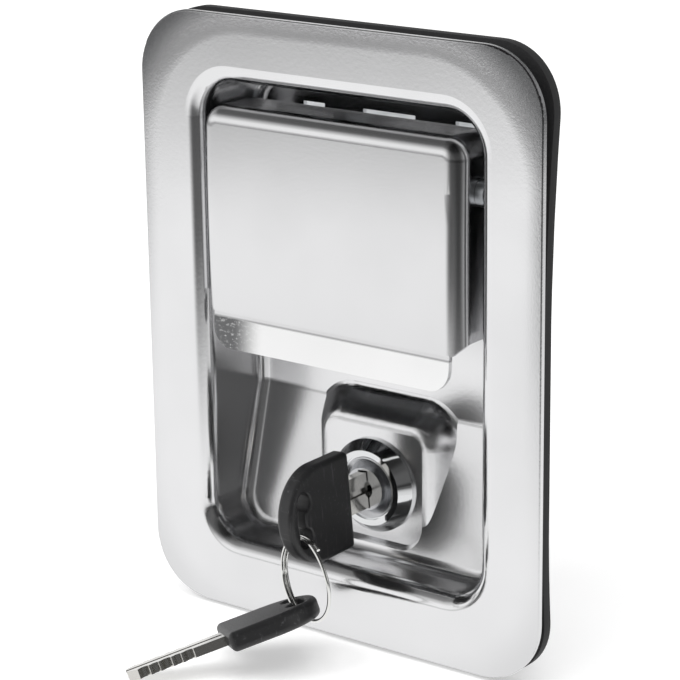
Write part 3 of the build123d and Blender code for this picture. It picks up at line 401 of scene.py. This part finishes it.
# ---- gasket ----
# Black foam rubber, 2.5 mm thick, die-cut to the flange, so its edges are a little rounded. It
# lies against the flange's back in the middle, and its ends curl away.
same_corner = 0.000002                    # corners closer than this are merged
cut_round = 0.00035
cell_mm = 0.35
gasket_rubber = bpy.data.objects.new("gasket_rubber", nodes["gasket"].data.copy())
bpy.context.scene.collection.objects.link(gasket_rubber)
bpy.ops.object.select_all(action="DESELECT")
gasket_rubber.select_set(True)
bpy.context.view_layer.objects.active = gasket_rubber
bpy.ops.object.mode_set(mode="EDIT")
bpy.ops.mesh.select_all(action="SELECT")
bpy.ops.mesh.remove_doubles(threshold=same_corner)
bpy.ops.mesh.dissolve_limited(angle_limit=radians(1.0))
bpy.ops.object.mode_set(mode="OBJECT")
rounding = gasket_rubber.modifiers.new("cut_edges", "BEVEL")
rounding.width = cut_round
rounding.segments = 3
rounding.limit_method = "ANGLE"
rounding.angle_limit = radians(40)
bpy.ops.object.modifier_apply(modifier="cut_edges")
bpy.ops.object.shade_smooth_by_angle(angle=radians(35))

# Foam rubber is matt, near black, and covered with fine pores.
foam_rubber, tree, place = start_material("black_foam_rubber")
cells = add_node(tree, "ShaderNodeTexNoise", values={"Scale": 1000 / cell_mm, "Detail": 3.0},
                 links={"Vector": place})
pores = add_node(tree, "ShaderNodeBump", values={"Strength": 0.25, "Distance": 0.00005},
                 links={"Height": cells.outputs["Fac"]})
shade = add_node(tree, "ShaderNodeMix", {"data_type": "RGBA"},
                 {"A": linear("#1B1B1C"), "B": linear("#2A2A2B")},
                 {"Factor": cells.outputs["Fac"]})
skin = add_node(tree, "ShaderNodeBsdfPrincipled", values={"Roughness": 0.72},
                links={"Base Color": shade.outputs["Result"], "Normal": pores.outputs[0]})
add_node(tree, "ShaderNodeOutputMaterial", links={"Surface": skin.outputs[0]})
gasket_rubber.data.materials.clear()
gasket_rubber.data.materials.append(foam_rubber)
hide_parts("gasket")
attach(gasket_rubber, "housing")

# ---- steel fittings ----
# Pins, rivets, bracket, lever, nut and cam are plain steel with bright zinc plate: a grey
# metal with a cloudy spangle and no clear reflection. The bolt is case-hardened and ground,
# darker and a little glossier. Springs and clips are drawn wire, greyer still.


def plated_metal(name, light, dark, gloss):
    """A plated, drawn or stamped metal: a cloudy tone and gloss, and fine upright lines.

    Real drawing lines are finer. They are drawn 0.25 mm wide, so that they show."""
    cloud_mm, line_mm, line_long = 7.0, 0.25, 20.0
    material, tree, place = start_material(name)
    cloud = add_node(tree, "ShaderNodeTexNoise", values={"Scale": 1000 / cloud_mm, "Detail": 4.0},
                     links={"Vector": place})
    tone = add_node(tree, "ShaderNodeMix", {"data_type": "RGBA"},
                    {"A": linear(light), "B": linear(dark)}, {"Factor": cloud.outputs["Fac"]})
    rough = add_node(tree, "ShaderNodeMapRange", values={
        "From Min": 0.3, "From Max": 0.7, "To Min": gloss * 0.75, "To Max": gloss * 1.3},
        links={"Value": cloud.outputs["Fac"]})
    drawn_out = add_node(tree, "ShaderNodeMapping", values={"Scale": (1.0, 1.0, 1 / line_long)},
                         links={"Vector": place})
    lines = add_node(tree, "ShaderNodeTexNoise", values={"Scale": 1000 / line_mm, "Detail": 2.0},
                     links={"Vector": drawn_out.outputs[0]})
    marks = add_node(tree, "ShaderNodeBump", values={"Strength": 0.12, "Distance": 0.00002},
                     links={"Height": lines.outputs["Fac"]})
    metal = add_node(tree, "ShaderNodeBsdfPrincipled", values={"Metallic": 1.0}, links={
        "Base Color": tone.outputs["Result"], "Roughness": rough.outputs[0],
        "Normal": marks.outputs[0]})
    add_node(tree, "ShaderNodeOutputMaterial", links={"Surface": metal.outputs[0]})
    return material


zinc_plate = plated_metal("zinc_plated_steel", "#CBCED1", "#B4B8BB", 0.32)
use_material(zinc_plate, "paddle_arm", "paddle_pin", "pivot_bushes",
             "latch_bracket", "bracket_rivets", "lever_post", "release_lever", "drive_pin",
             "spring_guide", "lock_washer", "lock_nut", "lock_cam", "cam_washer", "cam_screw")
use_material(plated_metal("case_hardened_bolt_steel", "#BDBEBF", "#97999B", 0.28), "latch_bolt")
spring_wire = plated_metal("drawn_spring_wire", "#9FA0A2", "#77787B", 0.30)
use_material(spring_wire, "paddle_spring", "pin_clip", "lever_clip")

# ---- weld studs ----
# Four M5 weld studs of zinc-plated steel, with a rolled 0.8 mm thread and a small weld collar,
# fired on to the back of the flange.
stud_low, stud_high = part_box("mounting_studs")
stud_long = stud_high.y - stud_low.y
stud_r = 0.0025
pitch = 0.0008
thread_deep = 0.00049
thread_start = 0.0018                     # the thread starts this far from the flange
foot_steps = (                            # how far down, and how many times wider
    (0.0004, 1.12), (0.0004, 1.0), (0.0005, 1.12), (0.0005, 1.04))
tip_narrows = 0.8


def select_end(mesh, height):
    """Select the flat end face at this height: only the ends have more than eight corners."""
    for face in mesh.polygons:
        face.select = len(face.vertices) > 8 and abs(face.center.z - height) < pitch / 8


# A triangle, as deep as the thread and a pitch tall, is wound up the stud's axis.
bpy.ops.object.select_all(action="DESELECT")
bpy.ops.mesh.primitive_plane_add(size=pitch / 2 ** 0.5, rotation=(radians(90), radians(45), 0))
stud = bpy.context.object
bpy.ops.object.transform_apply(location=False)
bpy.ops.object.mode_set(mode="EDIT")
bpy.ops.mesh.select_all(action="DESELECT")
bpy.ops.object.mode_set(mode="OBJECT")
min(stud.data.vertices, key=lambda vertex: vertex.co.x).select = True
bpy.ops.object.mode_set(mode="EDIT")
bpy.ops.mesh.delete(type="VERT")
bpy.ops.mesh.select_all(action="SELECT")
bpy.ops.transform.resize(value=(thread_deep / (pitch / 2), 1, 1), center_override=(0, 0, 0))
bpy.ops.transform.translate(value=(stud_r - thread_deep, 0, 0))
bpy.ops.object.mode_set(mode="OBJECT")
rolled = stud.modifiers.new("rolled_thread", "SCREW")
rolled.axis = "Z"
rolled.screw_offset = pitch
rolled.iterations = int(stud_long / pitch) + 2
rolled.steps = rolled.render_steps = 20
rolled.use_merge_vertices = True
rolled.merge_threshold = same_corner
bpy.ops.object.modifier_apply(modifier="rolled_thread")

# Cut to length, with a foot that is stepped out to the weld collar, and a narrowed tip.
bpy.ops.object.mode_set(mode="EDIT")
for height, below in ((thread_start, True), (stud_long, False)):
    bpy.ops.mesh.select_all(action="SELECT")
    bpy.ops.mesh.bisect(plane_co=(0, 0, height), plane_no=(0, 0, 1), use_fill=True,
                        clear_inner=below, clear_outer=not below)
bpy.ops.mesh.select_all(action="SELECT")
bpy.ops.mesh.normals_make_consistent(inside=False)
bpy.ops.mesh.select_all(action="DESELECT")
bpy.ops.object.mode_set(mode="OBJECT")
select_end(stud.data, thread_start)
bpy.ops.object.mode_set(mode="EDIT")
for drop, grow in foot_steps:
    bpy.ops.mesh.extrude_region_move(TRANSFORM_OT_translate={"value": (0, 0, -drop)})
    bpy.ops.transform.resize(value=(grow, grow, 1), center_override=(0, 0, 0))
bpy.ops.mesh.select_all(action="DESELECT")
bpy.ops.object.mode_set(mode="OBJECT")
select_end(stud.data, stud_long)
bpy.ops.object.mode_set(mode="EDIT")
bpy.ops.transform.resize(value=(tip_narrows, tip_narrows, 1), center_override=(0, 0, 0))
bpy.ops.object.mode_set(mode="OBJECT")
bpy.ops.object.shade_smooth_by_angle(angle=radians(40))
stud.rotation_euler = (radians(-90), 0, 0)
bpy.ops.object.transform_apply(rotation=True)
stud.data.materials.append(zinc_plate)
for number, (side, end) in enumerate(((-1, -1), (-1, 1), (1, -1), (1, 1))):
    placed = stud if number == 3 else stud.copy()
    if number < 3:
        placed.data = stud.data.copy()
        bpy.context.scene.collection.objects.link(placed)
    placed.name = f"threaded_stud_{number + 1}"
    placed.data.transform(Matrix.Translation((
        side * (stud_high.x - stud_r), stud_low.y, end * (stud_high.z - stud_r))))
    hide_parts("mounting_studs")
    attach(placed, "housing")

# ---- bolt spring ----
# A compression spring of 0.9 mm music wire, between the bottom of the bolt's bore and the
# bracket's side.
spring_low, spring_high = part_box("bolt_spring")
wire_r = 0.00045
wire_sides = 12
turns = 8
coil_r = (spring_high.z - spring_low.z) / 2 - wire_r
coil_long = spring_high.x - spring_low.x - 2 * wire_r
bpy.ops.object.select_all(action="DESELECT")
bpy.ops.mesh.primitive_circle_add(vertices=wire_sides, radius=wire_r, location=(coil_r, 0, 0),
                                  rotation=(radians(90), 0, 0))
coil = bpy.context.object
coil.name = "bolt_spring_coil"
bpy.ops.object.transform_apply(location=True, rotation=True)
wound = coil.modifiers.new("wound", "SCREW")
wound.axis = "Z"
wound.screw_offset = coil_long / turns
wound.iterations = turns
wound.steps = wound.render_steps = 40
bpy.ops.object.modifier_apply(modifier="wound")
bpy.ops.object.mode_set(mode="EDIT")
bpy.ops.mesh.select_all(action="SELECT")
bpy.ops.mesh.remove_doubles(threshold=same_corner)
bpy.ops.mesh.fill_holes(sides=wire_sides)
bpy.ops.mesh.normals_make_consistent(inside=False)
bpy.ops.object.mode_set(mode="OBJECT")
bpy.ops.object.shade_smooth_by_angle(angle=radians(50))
coil.rotation_euler = (0, radians(90), 0)
coil.location = (spring_low.x + wire_r, (spring_low.y + spring_high.y) / 2,
                 (spring_low.z + spring_high.z) / 2)
bpy.ops.object.transform_apply(location=True, rotation=True)
coil.data.materials.append(spring_wire)
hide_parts("bolt_spring")
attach(coil, "housing")
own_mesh(coil)

# ---- lock ----
# Die-cast zinc, chromed and bright on the bezel, satin on the plug's face, with brass wafers.
# Behind the pan the barrel carries a 1 mm thread between its two flats, drawn as rings.
barrel_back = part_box("lock_housing")[1].y
barrel_thread = 0.0185                    # length of the thread, from the barrel's back end
barrel_pitch = 0.001
flat_half = 0.00800                       # half the width over the flats
flat_blur = 0.0001
wave_unit = 2 * pi / 20                   # size of one band of a wave texture at a scale of 1
bright_chrome = plated_metal("bright_chrome_bezel", "#E6E7E8", "#DCDDDE", 0.05)
tree = bright_chrome.node_tree
chrome = next(node for node in tree.nodes if node.type == "BSDF_PRINCIPLED")
place = next(node for node in tree.nodes if node.type == "TEX_COORD").outputs["Object"]
spot = add_node(tree, "ShaderNodeSeparateXYZ", links={"Vector": place})
rings = add_node(tree, "ShaderNodeTexWave", {"bands_direction": "Y"},
                 {"Scale": wave_unit / barrel_pitch, "Distortion": 0.0}, {"Vector": place})
on_barrel = add_node(tree, "ShaderNodeMath", {"operation": "GREATER_THAN"},
                     {1: barrel_back - barrel_thread}, {0: spot.outputs["Y"]})
off_middle = add_node(tree, "ShaderNodeMath", {"operation": "ABSOLUTE"},
                      links={0: spot.outputs["X"]})
off_flat = add_node(tree, "ShaderNodeMath", {"operation": "LESS_THAN"},
                    {1: flat_half - flat_blur}, {0: off_middle.outputs[0]})
threaded = add_node(tree, "ShaderNodeMath", {"operation": "MULTIPLY"},
                    links={0: on_barrel.outputs[0], 1: off_flat.outputs[0]})
thread_bump = add_node(tree, "ShaderNodeBump", values={"Distance": 0.0004}, links={
    "Strength": threaded.outputs[0], "Height": rings.outputs["Fac"],
    "Normal": feeding(chrome, "Normal")})
tree.links.new(thread_bump.outputs[0], chrome.inputs["Normal"])
use_material(bright_chrome, "lock_housing")
use_material(plated_metal("satin_chrome_plug", "#C9CACC", "#B5B6B8", 0.22), "lock_plug")
use_material(plated_metal("stamped_brass", "#C9A862", "#A98743", 0.30), "lock_wafers")

# ---- keys and ring ----
# Nickel-plated blades, a little warm and fairly glossy, in black moulded heads, on a brighter
# nickel-plated split ring. The heads have a fine spark-eroded texture with a low sheen, and
# light pocket scratches along and across.
grit_mm, scratch_mm = 0.25, 0.7           # the grit is drawn coarser than real, so that it shows
use_material(plated_metal("nickel_plated_key", "#E2E0DC", "#CBC9C4", 0.16),
             "key_blade", "spare_key_blade")
use_material(plated_metal("nickel_plated_ring", "#F1F1EF", "#E3E3E0", 0.14), "key_ring")

moulded_plastic, tree, place = start_material("moulded_black_abs")
grit = add_node(tree, "ShaderNodeTexNoise", values={"Scale": 1000 / grit_mm, "Detail": 3.0},
                links={"Vector": place})
texture = add_node(tree, "ShaderNodeBump", values={"Strength": 0.25, "Distance": 0.00003},
                   links={"Height": grit.outputs["Fac"]})
scratches = []
for stretch in ((1.0, 1.0, 0.06), (0.07, 1.0, 1.0)):
    drawn_out = add_node(tree, "ShaderNodeMapping", values={"Scale": stretch},
                         links={"Vector": place})
    field = add_node(tree, "ShaderNodeTexNoise",
                     values={"Scale": 1000 / scratch_mm, "Detail": 4.0},
                     links={"Vector": drawn_out.outputs[0]})
    scratches.append(add_node(tree, "ShaderNodeMapRange", values={
        "From Min": 0.62, "From Max": 0.78}, links={"Value": field.outputs["Fac"]}))
scratched = add_node(tree, "ShaderNodeMath", {"operation": "MAXIMUM"},
                     links={0: scratches[0].outputs[0], 1: scratches[1].outputs[0]})
black = add_node(tree, "ShaderNodeMix", {"data_type": "RGBA"},
                 {"A": linear("#202021"), "B": linear("#48484A")},
                 {"Factor": scratched.outputs[0]})
rough = add_node(tree, "ShaderNodeMapRange", values={
    "From Min": 0.3, "From Max": 0.7, "To Min": 0.38, "To Max": 0.50},
    links={"Value": grit.outputs["Fac"]})
plastic = add_node(tree, "ShaderNodeBsdfPrincipled", values={"IOR": 1.54}, links={
    "Base Color": black.outputs["Result"], "Roughness": rough.outputs[0],
    "Normal": texture.outputs[0]})
add_node(tree, "ShaderNodeOutputMaterial", links={"Surface": plastic.outputs[0]})
use_material(moulded_plastic, "key_head", "spare_key_head")
